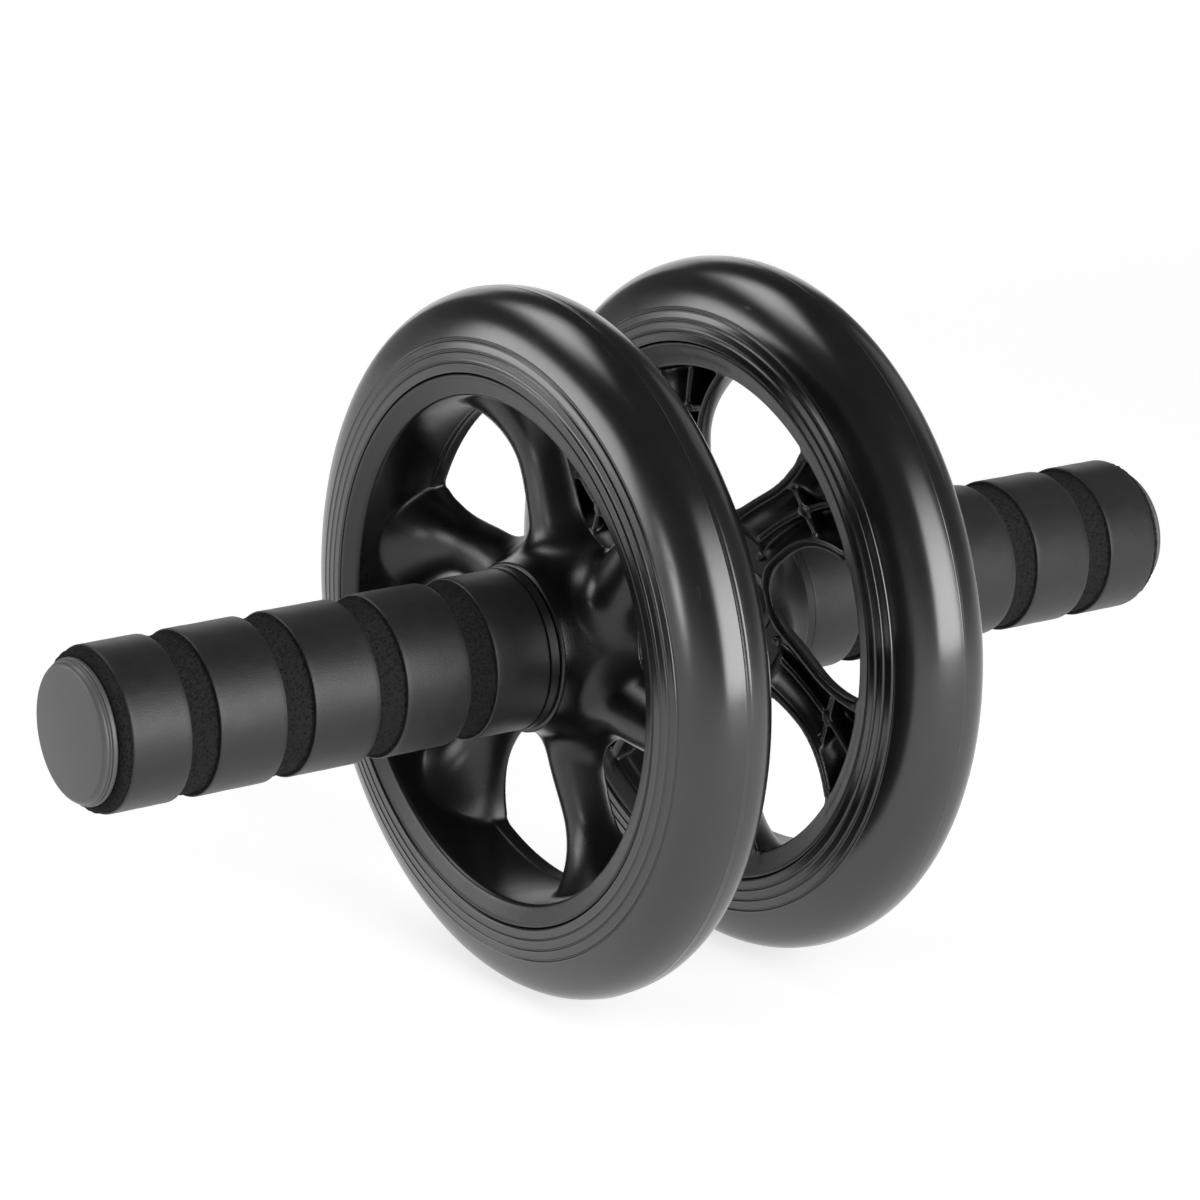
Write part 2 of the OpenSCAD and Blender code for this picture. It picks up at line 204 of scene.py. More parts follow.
def tyre_profile():
    """The outline of a tyre: its oval with the grooves cut in, and the key that sits in the rim."""
    foot = math.asin((OVAL_DROP / (TYRE_H + OVAL_DROP)) ** (OVAL_POWER / 2))
    rise = math.pi / 2 - foot
    oval = np.array([tyre_oval(foot + rise * i / OVAL_STEPS) for i in range(OVAL_STEPS + 1)])
    h, w = oval[:, 0], oval[:, 1]
    length = np.concatenate([[0], np.cumsum(np.hypot(np.diff(h), np.diff(w)))])
    s = np.concatenate([np.arange(SAMPLE_FIRST, SAMPLE_FINE, SAMPLE_STEP),
                        np.linspace(SAMPLE_FINE + CROWN_GAP, length[-1], CROWN_SAMPLES)])
    height, width = np.interp(s, length, h), np.interp(s, length, w)
    dh, dw = np.gradient(height, s), np.gradient(width, s)
    depth = np.zeros_like(s)
    for k in range(GROOVES):
        off = s - np.interp(GROOVE_FIRST + GROOVE_PITCH * k, h, length)
        depth += GROOVE_DEPTH * np.clip(1 - (off / GROOVE_HALF) ** 2, 0, 1)
        # a low rolled lip on each side of the groove
        depth -= LIP_HEIGHT * np.exp(-((np.abs(off) - LIP_AT) / LIP_WIDTH) ** 2)
    steep = np.hypot(dh, dw)
    width, height = width - depth * dh / steep, height + depth * dw / steep
    side = [(width[0] - inward, up) for inward, up in FOOT] + list(zip(width, height))[:-1]
    inner = [(KEY_HALF - KEY_TAPER, KEY_TOP), (KEY_HALF, SEAT_GAP), (RIM_HALF - FOOT_SPAN, SEAT_GAP)]
    outline = side + [(0.0, CROWN_H)] + mirrored(side) + mirrored(inner) + inner
    return [(WHEEL_X + a, SEAT_R + b) for a, b in outline]


def mirrored(points):
    """The same points on the other side of the centre plane, in reverse order."""
    return [(-a, b) for a, b in reversed(points)]


def densify_crown(p):
    """More points where the parting line runs."""
    out = []
    for a, b in zip(p, p[1:] + p[:1]):
        out.append(a)
        near = min(a[0], b[0]) < WHEEL_X + PARTING_TO and max(a[0], b[0]) > WHEEL_X + PARTING_FROM
        if near and min(a[1], b[1]) > WHEEL_R - PARTING_DEPTH:
            k = max(1, int(abs(b[0] - a[0]) / PARTING_STEP))
            out += [(a[0] + (b[0] - a[0]) * j / k, a[1] + (b[1] - a[1]) * j / k) for j in range(1, k)]
    return out


def parting_line(at):
    """A thin raised line where the mould halves met, each half with a little draft, and faint waviness."""
    def relief(x, a, r):
        off = np.abs(x - at)
        rough = ring_noise(FLASH_SEED, np.full_like(x, FLASH_ROW), a, FLASH_CELL, WHEEL_R)
        uneven = 1 - FLASH_UNEVEN + FLASH_UNEVEN * rough
        flash = FLASH_HEIGHT * (np.exp(-(off / FLASH_WIDTH) ** 2) * uneven - 1)
        near_crown = np.clip((r - WHEEL_R + DRAFT_BELOW) / DRAFT_FADE, 0, 1)
        draft = DRAFT * (1 - np.exp(-off / DRAFT_REACH)) * near_crown
        wave = WAVE_HEIGHT * ring_noise(WAVE_SEED, x, a, WAVE_LENGTH, WHEEL_R)
        return np.where(r > RELIEF_FROM, flash + wave - draft, 0.0)
    return relief


# Rims: one smooth moulding, drawn as a field that is negative inside it.
# r and th are the radius and angle round the axle, u the distance from the axle along a spoke, v across it.
END_U = math.sqrt(BAND_R ** 2 - (SPOKE_END / 2) ** 2)
RUN, RISE = END_U - WAIST_U, SPOKE_END / 2 - WAIST_R
HORN_ARC = (RUN * RUN + RISE * RISE) / (2 * RISE)
HORN_REACH = 20
ROOT_SWELL, ROOT_REACH = 0.9, 11.0
HORN_START, HORN_START_BLEND = 6.0, 2.0
# the lean of the spokes: its angle each way over LEAN_REACH, from the radius LEAN_MID
LEAN, LEAN_MID, LEAN_REACH, LEAN_LIMIT = math.radians(10), 47.0, 30.0, 0.6
# the hub's flare towards the wheel's inner side, and its flat front face
FLARE, FLARE_LENGTH, FLARE_POWER, FLARE_LIMIT = 8.4, 17.7, 1.7, 1.4
NECK_FACE_R, WELL_INSIDE = NECK_R + 4, -5.0
# softness of the places where two forms meet
ROOT_BLEND, BAND_BLEND, HOLLOW_BLEND, RIB_BLEND = 5.0, 1.1, 1.3, 1.6
FOLD, BAND_EDGE, EDGE, CORNER, BORE_EDGE = 1.2, 1.0, 0.7, 0.5, 0.3
# the band's faces have fallen by FACE_FALL at its inner edge, and fall a little more inside it
FALL_LEAST, FALL_MOST = -0.2, 3.0
# how far the spokes run into the band, how far short of it their hollow ends, and where their flat edge
# gives way to the band's back face
SPOKE_OVERRUN, HOLLOW_SHORT = 2, 0.6
BACK_CHANGE_R, BACK_CHANGE_LENGTH = BAND_R - 1.6, 1.2
# the ribs: half thickness, depth below the spokes' flat edge, and where they start, step down and cross
RIB_HALF, CROSS_HALF, RIB_SINK = 0.95, 0.9, 1.5
RIB_START, RIB_START_BLEND, RIB_STEP_U, RIB_STEP_LENGTH, RIB_STEP = 20.4, 0.6, 31.0, 7.5, 5.0
CROSS_U, CROSS_REACH = 52.0, 20.0
# a low step inside the band, near its back
STEP_X, STEP_WIDTH, STEP_H = EDGE_X + 3.9, 0.8, 0.5


def smin(a, b, k):
    """The smaller of two fields, with a fillet of about k where they meet."""
    h = np.clip(0.5 + 0.5 * (b - a) / k, 0, 1)
    return b + (a - b) * h - k * h * (1 - h)


def smax(a, b, k):
    """The larger of two fields, with a rounded edge of about k where they meet."""
    return -smin(-a, -b, k)


def horn_radius(u):
    """Radius of a spoke at a distance from the axle: waisted, wider at the rim and a little at the hub."""
    x = u - WAIST_U
    reach = np.clip(x, -HORN_REACH, HORN_REACH + 1)
    out = WAIST_R + HORN_ARC - np.sqrt(np.clip(HORN_ARC ** 2 - reach ** 2, 0, None))
    root = WAIST_R + ROOT_SWELL * (1 - np.exp(-(np.clip(-x, 0, None) / ROOT_REACH) ** 2))
    return np.where(x < 0, root, out)


def horn_field(u, v, z):
    """One spoke, round and horn shaped."""
    past = np.clip(u - WAIST_U, 0, HORN_REACH)
    slope = past / np.sqrt(np.clip(HORN_ARC ** 2 - past ** 2, 1, None))
    d = (np.sqrt(v * v + (z - HORN_X) ** 2) - horn_radius(u)) / np.sqrt(1 + slope ** 2)
    return smax(d, HORN_START - u, HORN_START_BLEND)


def hub_field(r, z):
    """The hub: a neck that flares towards the wheel's inner side."""
    t = np.clip((NECK_X - z) / FLARE_LENGTH, 0, FLARE_LIMIT)
    wall = NECK_R + FLARE * t ** FLARE_POWER
    slope = FLARE * FLARE_POWER * t ** (FLARE_POWER - 1) / FLARE_LENGTH
    return (r - wall) / np.sqrt(1 + slope ** 2)


def body_field(r, th, z):
    """The hub and the spokes that grow out of it, as if they were solid."""
    body = hub_field(r, z)
    for k in (-1, 0, 1):
        a = th + k * SECTOR
        body = smin(body, horn_field(r * np.cos(a), r * np.sin(a), z), ROOT_BLEND)
    neck_face = np.where(r < NECK_FACE_R, z - NECK_X, WELL_INSIDE)
    return smax(body, neck_face, EDGE)


def back_field(r, z):
    """The band's back face, which falls inwards as its front face does."""
    return RIM_BACK + face_fall(r) - z


def face_fall(r):
    """How far the band's faces have fallen at a radius."""
    return np.clip((SEAT_R - r) / (SEAT_R - BAND_R) * FACE_FALL, FALL_LEAST, FALL_MOST)


def band_field(r, z):
    """The band under the tyre."""
    inner = BAND_R - STEP_H * (1 - np.clip((z - STEP_X) / STEP_WIDTH, 0, 1))
    faces = smax(z - (RIM_FACE - face_fall(r)), back_field(r, z), CORNER)
    return smax(faces, smax(inner - r, r - SEAT_R, CORNER), BAND_EDGE)


def rib_field(u, v, z):
    """The ribs in a spoke's hollow: one along it and one across it."""
    edge = EDGE_X + RIB_SINK
    step = np.clip((RIB_STEP_U - u) / RIB_STEP_LENGTH, 0, 1) * RIB_STEP
    along = smax(v - RIB_HALF, edge + step - z, CORNER)
    along = smax(along, RIB_START - u, RIB_START_BLEND)
    across = smax(np.abs(u - CROSS_U) - CROSS_HALF, edge - z, CORNER)
    across = smax(across, v - CROSS_REACH, CORNER)
    return smin(along, across, RIB_BLEND)


def rim_field(r, th, z):
    """Negative inside the moulding. th is measured from a spoke's own plane. The spokes lean a little: their
    ends at the rim run ahead of their roots, the same way round on both wheels, as seen from outside."""
    th = th - LEAN * np.clip((r - LEAN_MID) / LEAN_REACH, -LEAN_LIMIT, LEAN_LIMIT)
    body = body_field(r, th, z)
    hollow = smax(body + SKIN, r - (BAND_R - HOLLOW_SHORT), FOLD)
    solid = smin(smax(body, r - (BAND_R + SPOKE_OVERRUN), CORNER), band_field(r, z), BAND_BLEND)
    ribs = rib_field(r * np.cos(th), np.abs(r * np.sin(th)), z)
    shell = smax(solid, -smax(hollow, -ribs, HOLLOW_BLEND), EDGE)
    # the spokes end in one flat edge, and the band at its own back face
    spokes = smax(shell, EDGE_X - z, EDGE)
    band = smax(shell, back_field(r, z), CORNER)
    share = np.clip((r - BACK_CHANGE_R) / BACK_CHANGE_LENGTH, 0, 1)
    return smax(spokes * (1 - share) + band * share, BORE_R - r, BORE_EDGE)


# The field's surface is found on a polar grid, with one point in each cell that it passes through. The grid
# reaches a little past the moulding everywhere.
GRID_R, GRID_Z = (7.4, 70.3), (17.6, 47.0)
CELLS_R, CELLS_TH, CELLS_Z = 96, 84, 56
SETTLE_STEPS, SETTLE_GAP, SETTLE_MOST, STEEP_LEAST = 4, 0.02, 0.3, 0.15
CORNERS = [(a, b, c) for c in (0, 1) for b in (0, 1) for a in (0, 1)]
CELL_EDGES = [(p, q) for i, p in enumerate(CORNERS) for q in CORNERS[i + 1:]
              if sum(abs(s - t) for s, t in zip(p, q)) == 1]
# the four cells round a grid edge that runs along r, th or z
RINGS = [[(0, -1, -1), (0, 0, -1), (0, 0, 0), (0, -1, 0)],
         [(-1, 0, -1), (-1, 0, 0), (0, 0, 0), (0, 0, -1)],
         [(-1, -1, 0), (0, -1, 0), (0, 0, 0), (-1, 0, 0)]]


def crossed_cells(field):
    """The cells that the surface passes through, their numbers on the grid, and the mean of the surface's
    crossings with each cell's edges, in cells."""
    inside = field < 0
    total = sum(inside[tuple(slice(o, n - 1 + o) for o, n in zip(corner, field.shape))].astype(np.int8)
                for corner in CORNERS)
    cells = np.argwhere((total > 0) & (total < len(CORNERS)))
    number = np.full(total.shape, -1, np.int64)
    number[tuple(cells.T)] = np.arange(len(cells))
    pos, count = np.zeros((len(cells), 3)), np.zeros(len(cells))
    for p, q in CELL_EDGES:
        fp, fq = field[tuple((cells + p).T)], field[tuple((cells + q).T)]
        hit = (fp < 0) != (fq < 0)
        t = np.where(hit, fp / np.where(hit, fp - fq, 1), 0)[:, None]
        pos += np.where(hit[:, None], np.array(p) + (np.array(q) - np.array(p)) * t, 0)
        count += hit
    return cells, number, cells + pos / count[:, None]


def settle(r, th, z):
    """Moves points onto the true surface by a few small steps along the gradient."""
    e = SETTLE_GAP
    for _ in range(SETTLE_STEPS):
        gr = (rim_field(r + e, th, z) - rim_field(r - e, th, z)) / (2 * e)
        gt = (rim_field(r, th + e / r, z) - rim_field(r, th - e / r, z)) / (2 * e)
        gz = (rim_field(r, th, z + e) - rim_field(r, th, z - e)) / (2 * e)
        steep = np.clip(gr * gr + gt * gt + gz * gz, STEEP_LEAST, None)
        s = np.clip(rim_field(r, th, z) / steep, -SETTLE_MOST, SETTLE_MOST)
        r, th, z = r - s * gr, th - s * gt / r, z - s * gz
    return r, th, z


def crossing_quads(field, number, axis):
    """One quad round each grid edge along that axis that the surface crosses, and for each of its corners
    whether it lies in this sector, 0, or in the one before, -1."""
    first, second = [slice(None), slice(None, -1), slice(None)], [slice(None), slice(None, -1), slice(None)]
    first[axis], second[axis] = slice(None, -1), slice(1, None)
    low, high = field[tuple(first)], field[tuple(second)]
    hit = (low < 0) != (high < 0)
    at = np.argwhere(hit)
    ring = at[:, None, :] + np.array(RINGS[axis])[None]
    sector = np.where(ring[..., 1] < 0, -1, 0)
    quads = number[np.clip(ring[..., 0], 0, number.shape[0] - 1), ring[..., 1] % number.shape[1],
                   np.clip(ring[..., 2], 0, number.shape[2] - 1)]
    ok = (quads >= 0).all(1)
    for other in {0, 2} - {axis}:
        ok &= (at[:, other] > 0) & (at[:, other] < field.shape[other] - 1)
    out = (low[hit] < 0)[ok][:, None]
    quads, sector = quads[ok], sector[ok]
    return np.where(out, quads, quads[:, ::-1]), np.where(out, sector, sector[:, ::-1])


def rim_mesh():
    """The surface over one sector of the wheel, turned round the axle once for each spoke, as x, y and z."""
    grid_r, grid_z = np.linspace(*GRID_R, CELLS_R), np.linspace(*GRID_Z, CELLS_Z)
    step = SECTOR / CELLS_TH
    grid_th = -SECTOR / 2 + np.arange(CELLS_TH) * step
    field = rim_field(*np.meshgrid(grid_r, grid_th, grid_z, indexing="ij"))
    # the sector closes on itself
    field = np.concatenate([field, field[:, :1]], 1)
    cells, number, pos = crossed_cells(field)
    r, th, z = settle(grid_r[0] + pos[:, 0] * (grid_r[1] - grid_r[0]), grid_th[0] + pos[:, 1] * step,
                      grid_z[0] + pos[:, 2] * (grid_z[1] - grid_z[0]))
    quads = [crossing_quads(field, number, axis) for axis in range(3)]
    verts, faces = [], []
    for s in range(SPOKES):
        a = th + s * SECTOR
        verts.append(np.stack([z, r * np.cos(a), r * np.sin(a)], -1))
        faces += [q + ((s + sector) % SPOKES) * len(cells) for q, sector in quads]
    return np.concatenate(verts), np.concatenate(faces)


# Foam grips: lands with a skin, and recessed bands and an outer end that show the cut cells
FOAM_IN, FOAM_L, FOAM_R, CORE_R = 40.9, 118.7, 20.25, 14.1
FOAM_OUT, SKIN_SHORT = FOAM_IN + FOAM_L, 2.5
SKIN_END = FOAM_OUT - SKIN_SHORT
BAND_COUNT, BAND_PITCH, RECESS_W, RECESS_H = 4, 25.8, 7.6, 1.2
BANDS = [(FOAM_IN + SKIN_END) / 2 + (i - (BAND_COUNT - 1) / 2) * BAND_PITCH for i in range(BAND_COUNT)]
LAND_STEP, BAND_POINTS = 1.2, 24
INNER_ROLL, LAND_ROLL, SKIN_ROLL = 0.5, 0.3, 0.35
# the outer end: its big roll, how far inside and beyond the skin's edge that lies, and its flat face
END_ROLL, END_STEP, END_SET = 2.0, 0.55, 0.5
FACE_STEP, FACE_RINGS = 0.35, 8
# the foot of a band's wall: how far in and how high its corner is cut
WALL_FOOT, WALL_RUN = (0.05, 0.25), 0.2
# what shows cells keeps off the lands' edges and the bore
CELLS_OFF_EDGE, CELLS_OFF_LAND, CELLS_OFF_BORE = 0.02, 0.55, 0.3
# layers of the relief: seed, width and height of each one's bumps
CELL_PITS, PIT_LIMITS = [(21, 0.62, 0.10), (22, 1.3, 0.07)], (-0.25, 0.22)
SKIN_WAVES, SKIN_SINK, SKIN_DEPTH = [(23, 9.0, 0.035), (24, 3.5, 0.02)], 0.03, 2.6
# about the most that the relief raises a face, and the radius up to which it moves nothing
RAISED_MOST, STILL_R = 0.2, CORE_R + 0.2
FOAM_SEGMENTS = 360


def land(a, b):
    """Points along a land, so that its relief has something to move."""
    n = max(2, int((b - a) / LAND_STEP))
    return [(a + (b - a) * i / n, FOAM_R) for i in range(1, n)]


def foam_profile():
    """The outline of a grip, from its inner end outwards."""
    pts = [(FOAM_IN, CORE_R), (FOAM_IN, FOAM_R - INNER_ROLL)]
    pts += arc(FOAM_IN + INNER_ROLL, FOAM_R - INNER_ROLL, INNER_ROLL, 180, 90, 4)[1:]
    x = FOAM_IN + INNER_ROLL
    low = FOAM_R - RECESS_H
    foot_in, foot_up = WALL_FOOT
    for mid in BANDS:
        a, b = mid - RECESS_W / 2, mid + RECESS_W / 2
        run = b - a - 2 * WALL_RUN
        pts += land(x, a - LAND_ROLL)
        pts += arc(a - LAND_ROLL, FOAM_R - LAND_ROLL, LAND_ROLL, 90, 0, 3)
        pts += [(a + foot_in, low + foot_up), (a + WALL_RUN, low)]
        pts += [(a + WALL_RUN + run * i / BAND_POINTS, low) for i in range(1, BAND_POINTS)]
        pts += [(b - WALL_RUN, low), (b - foot_in, low + foot_up)]
        pts += arc(b + LAND_ROLL, FOAM_R - LAND_ROLL, LAND_ROLL, 180, 90, 3)
        x = b + LAND_ROLL
    pts += land(x, SKIN_END - SKIN_ROLL)
    pts += arc(SKIN_END - SKIN_ROLL, FOAM_R - SKIN_ROLL, SKIN_ROLL, 90, 10, 3)
    end = FOAM_R - END_STEP - END_ROLL
    pts += arc(SKIN_END + END_SET, end, END_ROLL, 80, 0, 9)
    face = end - FACE_STEP
    pts += [(FOAM_OUT, face - (face - CORE_R) * i / FACE_RINGS) for i in range(FACE_RINGS + 1)]
    return pts


def in_cells(x, r):
    """Where the foam shows its cut cells: the recessed bands and the outer end."""
    shown = (x > SKIN_END + CELLS_OFF_EDGE) & (r > CORE_R + CELLS_OFF_BORE)
    for mid in BANDS:
        shown |= (np.abs(x - mid) < RECESS_W / 2 - CELLS_OFF_EDGE) & (r < FOAM_R - CELLS_OFF_LAND)
    return shown


def bumps(layers, x, a):
    """The sum of some layers of noise round a grip."""
    return sum(height * ring_noise(seed, x, a, width, FOAM_R) for seed, width, height in layers)


def foam_relief(x, a, r):
    """Pits where the cells show, and soft waves in the skin. The bore stays round."""
    pits = np.clip(bumps(CELL_PITS, x, a), *PIT_LIMITS)
    waves = np.where(r > FOAM_R - SKIN_DEPTH, bumps(SKIN_WAVES, x, a) - SKIN_SINK, 0)
    return np.where(r < STILL_R, 0.0, np.where(in_cells(x, r), pits, waves))


def show_cells(grip):
    """Gives the second material to the faces of a grip that show the cut cells."""
    co = np.zeros(len(grip.data.vertices) * 3, np.float32)
    grip.data.vertices.foreach_get("co", co)
    corners = np.zeros(len(grip.data.loops), np.int32)
    grip.data.loops.foreach_get("vertex_index", corners)
    mid = (co.reshape(-1, 3) / MM)[corners.reshape(-1, 4)].mean(1)
    radius = np.hypot(mid[:, 1], mid[:, 2]) - RAISED_MOST
    grip.data.polygons.foreach_set("material_index", in_cells(np.abs(mid[:, 0]), radius).astype(np.int32))


# End caps: a plug, a rim ring with a fine step, and a domed face
CORE_END, CAP_R, CAP_FACE = 159.7, 17.7, 163.6
PLUG_IN_R, PLUG_R, PLUG_L, PLUG_GAP = 9.2, 11.3, 8.0, 0.02
# the rim ring: its back and front corners, the groove past it, the fine bead and the foot of the dome.
# Places are how far out from the core's end and how far in from the cap's edge.
BACK_IN, BACK_ROLL = 0.4, 0.3
RING_OUT, RING_ROLL = 0.95, 0.35
GROOVE_AT = (1.32, 0.62)
BEAD_AT, BEAD_ROLL = (1.55, 0.5), 0.22
DOME_FOOT = [(1.95, 0.62), (2.0, 0.74)]
DOME, DOME_EDGE, DOME_IN = 0.55, 1.55, 0.7
DOME_RINGS, DOME_SINK, DOME_CENTRE = 22, 0.02, 0.06
# the middle of the cap's wall, where the outline nearly meets the axle's line
MIDDLE_R, MIDDLE_FRONT, MIDDLE_BACK = 0.02, CAP_FACE - 0.021, CORE_END + 0.6
CAP_SEGMENTS = 192


def cap_point(place):
    """A place on the cap, as x and radius."""
    out, inward = place
    return CORE_END + out, CAP_R - inward


def cap_profile():
    """The outline of an end cap, from its plug round the rim ring to the middle of its dome."""
    pts = [(CORE_END - PLUG_L, PLUG_IN_R), (CORE_END - PLUG_L, PLUG_R), (CORE_END - PLUG_GAP, PLUG_R)]
    pts += [(CORE_END, CAP_R - BACK_IN)]
    pts += arc(CORE_END + BACK_ROLL, CAP_R - BACK_ROLL, BACK_ROLL, 180, 90, 3)[1:]
    pts += arc(CORE_END + RING_OUT, CAP_R - RING_ROLL, RING_ROLL, 90, 5, 4)
    pts += [cap_point(GROOVE_AT)]
    pts += arc(*cap_point(BEAD_AT), BEAD_ROLL, 180, 60, 4)
    pts += [cap_point(place) for place in DOME_FOOT]
    edge_r = CAP_R - DOME_IN - DOME_EDGE
    pts += arc(CAP_FACE - DOME - DOME_EDGE, edge_r, DOME_EDGE, 88, 12, 12)
    for i in range(DOME_RINGS + 1):
        rad = edge_r * (1 - i / DOME_RINGS)
        height = DOME * (1 - (rad / edge_r) ** 2)
        pts.append((CAP_FACE - DOME + height - DOME_SINK, max(rad, DOME_CENTRE)))
    return pts + [(MIDDLE_FRONT, MIDDLE_R), (MIDDLE_BACK, MIDDLE_R), (MIDDLE_BACK, PLUG_IN_R)]


# Node helpers
def material(name):
    """A new material with its nodes, its Principled shader and the object's own coordinates."""
    m = bpy.data.materials.new(name)
    m.use_nodes = True
    nt = m.node_tree
    nt.nodes.clear()
    out = nt.nodes.new("ShaderNodeOutputMaterial")
    shader = nt.nodes.new("ShaderNodeBsdfPrincipled")
    nt.links.new(shader.outputs[0], out.inputs[0])
    place = nt.nodes.new("ShaderNodeTexCoord").outputs["Object"]
    return m, nt, shader, place


def node(nt, kind, **settings):
    """A new node, with inputs or properties set by name."""
    n = nt.nodes.new(kind)
    for k, v in settings.items():
        if k in n.inputs.keys():
            n.inputs[k].default_value = v
        else:
            setattr(n, k, v)
    return n


def noise(nt, vec, scale, detail=4, rough=0.6):
    """Cloudy noise, 0 to 1."""
    n = node(nt, "ShaderNodeTexNoise", Scale=scale, Detail=detail, Roughness=rough)
    nt.links.new(vec, n.inputs["Vector"])
    return n.outputs["Fac"]


def cells(nt, vec, scale, low, high):
    """Round cells, from 0 in their middles to 1 on their walls."""
    n = node(nt, "ShaderNodeTexVoronoi", Scale=scale)
    nt.links.new(vec, n.inputs["Vector"])
    return ramp(nt, n.outputs["Distance"], [(low, 0.0), (high, 1.0)])


def ramp(nt, fac, stops):
    """A colour ramp through stops of (position, grey level or colour)."""
    n = nt.nodes.new("ShaderNodeValToRGB")
    el = n.color_ramp.elements
    el[0].position, el[1].position = stops[0][0], stops[-1][0]
    for p, _ in stops[1:-1]:
        el.new(p)
    for e, (_, c) in zip(sorted(el, key=lambda q: q.position), stops):
        e.color = (c, c, c, 1) if isinstance(c, (int, float)) else (*c, 1)
    nt.links.new(fac, n.inputs[0])
    return n.outputs[0]


def fade(nt, fac, span, first, last):
    """Goes from first to last over a span."""
    low, high = span
    return ramp(nt, fac, [(low, first), (high, last)])


def math_node(nt, op, a, b=None, clamp=False):
    """A Math node on sockets or numbers."""
    n = nt.nodes.new("ShaderNodeMath")
    n.operation = op
    n.use_clamp = clamp
    for i, v in enumerate((a, b)):
        if v is None:
            continue
        if isinstance(v, (int, float)):
            n.inputs[i].default_value = v
        else:
            nt.links.new(v, n.inputs[i])
    return n.outputs[0]


def times(nt, a, b):
    return math_node(nt, "MULTIPLY", a, b)


def plus(nt, a, b, clamp=False):
    return math_node(nt, "ADD", a, b, clamp)


def mixed(nt, a, b, share):
    """share of a and the rest of b."""
    return plus(nt, times(nt, a, share), times(nt, b, 1 - share))


def bump(nt, shader, height, strength, distance, under=None):
    """A bump on a shader, or on top of the one under it. distance is in metres."""
    n = node(nt, "ShaderNodeBump", Strength=strength, Distance=distance)
    nt.links.new(height, n.inputs["Height"])
    if under is not None:
        nt.links.new(under, n.inputs["Normal"])
    nt.links.new(n.outputs[0], shader.inputs["Normal"])
    return n.outputs[0]


def scaled(nt, vec, s):
    """Coordinates stretched by three factors."""
    n = nt.nodes.new("ShaderNodeMapping")
    n.inputs["Scale"].default_value = s
    nt.links.new(vec, n.inputs["Vector"])
    return n.outputs[0]


def scratches(nt, vec, scale, stretch, low, high):
    """Thin long marks, 0 to 1."""
    n = noise(nt, scaled(nt, vec, stretch), scale, detail=2, rough=0.5)
    return ramp(nt, n, [(low, 0.0), (high, 1.0)])


def tint(colour, factor):
    """A lighter or darker tone of a colour."""
    return tuple(c * factor for c in colour)


# Materials. Each has large and small variation in its colour and roughness, and grain in its bump.
RUBBER_DARK, RUBBER_LIGHT = (0.0052, 0.0052, 0.0054), (0.0092, 0.0092, 0.0094)
SKIN_DARK, SKIN_LIGHT = (0.0085, 0.0085, 0.0088), (0.0145, 0.0145, 0.0149)
# the cut cells: painted shade in their middles, and the colour of their walls
CELL_PIT_SHADE, CELL_LIGHT = (0.0026, 0.0026, 0.0027), (0.0155, 0.0155, 0.016)
NYLON_DARK, NYLON_LIGHT = (0.66, 0.65, 0.60), (0.76, 0.75, 0.71)
RIM_BLACK, CORE_BLACK, CAP_GREY = (0.0040, 0.0040, 0.0042), (0.007, 0.007, 0.0072), (0.094, 0.094, 0.0954)
TUBE_GREY, ROD_GREY, ZINC_GREY = (0.26, 0.26, 0.27), (0.52, 0.52, 0.53), (0.58, 0.59, 0.60)


def moulded_plastic(name, base, rough, grain, specular, spread, marks):
    """Black or grey moulding. grain is the depth of its grain in metres, spread the variation of its colour
    and marks the strength of its scuffs."""
    m, nt, shader, place = material(name)
    big = noise(nt, place, 22)
    mid = noise(nt, place, 160)
    fine = noise(nt, place, 2600, detail=2, rough=0.5)
    tone = mixed(nt, big, mid, 0.6)
    colour = ramp(nt, tone, [(0.32, tint(base, 1 - spread)), (0.68, tint(base, 1 + spread))])
    nt.links.new(colour, shader.inputs["Base Color"])
    around = scratches(nt, place, scale=60, stretch=(1, 1, 14), low=0.66, high=0.74)
    across = scratches(nt, place, scale=55, stretch=(13, 2, 1), low=0.68, high=0.76)
    wear = times(nt, math_node(nt, "MAXIMUM", around, across), marks)
    sheen = ramp(nt, tone, [(0.3, rough * 0.84), (0.7, min(1.0, rough * 1.2))])
    nt.links.new(plus(nt, sheen, times(nt, wear, 0.25), clamp=True), shader.inputs["Roughness"])
    shader.inputs["Specular IOR Level"].default_value = specular
    waves = bump(nt, shader, mid, strength=0.25, distance=0.00012)
    bump(nt, shader, fine, strength=0.5, distance=grain, under=waves)
    return m


def rubber(name):
    """Glossy moulded tyre skin: faint flow waves, fine grain and a little dust in the roughness."""
    m, nt, shader, place = material(name)
    big = noise(nt, place, 16)
    mid = noise(nt, place, 120)
    fine = noise(nt, place, 3200, detail=2, rough=0.5)
    tone = mixed(nt, big, mid, 0.55)
    nt.links.new(ramp(nt, tone, [(0.3, RUBBER_DARK), (0.7, RUBBER_LIGHT)]), shader.inputs["Base Color"])
    marks = scratches(nt, place, scale=70, stretch=(9, 1, 1), low=0.69, high=0.76)
    sheen = ramp(nt, tone, [(0.32, 0.17), (0.68, 0.23)])
    nt.links.new(plus(nt, sheen, times(nt, marks, 0.10), clamp=True), shader.inputs["Roughness"])
    shader.inputs["Specular IOR Level"].default_value = 0.9
    waves = bump(nt, shader, big, strength=0.12, distance=0.0006)
    bump(nt, shader, fine, strength=0.35, distance=0.00002, under=waves)
    return m


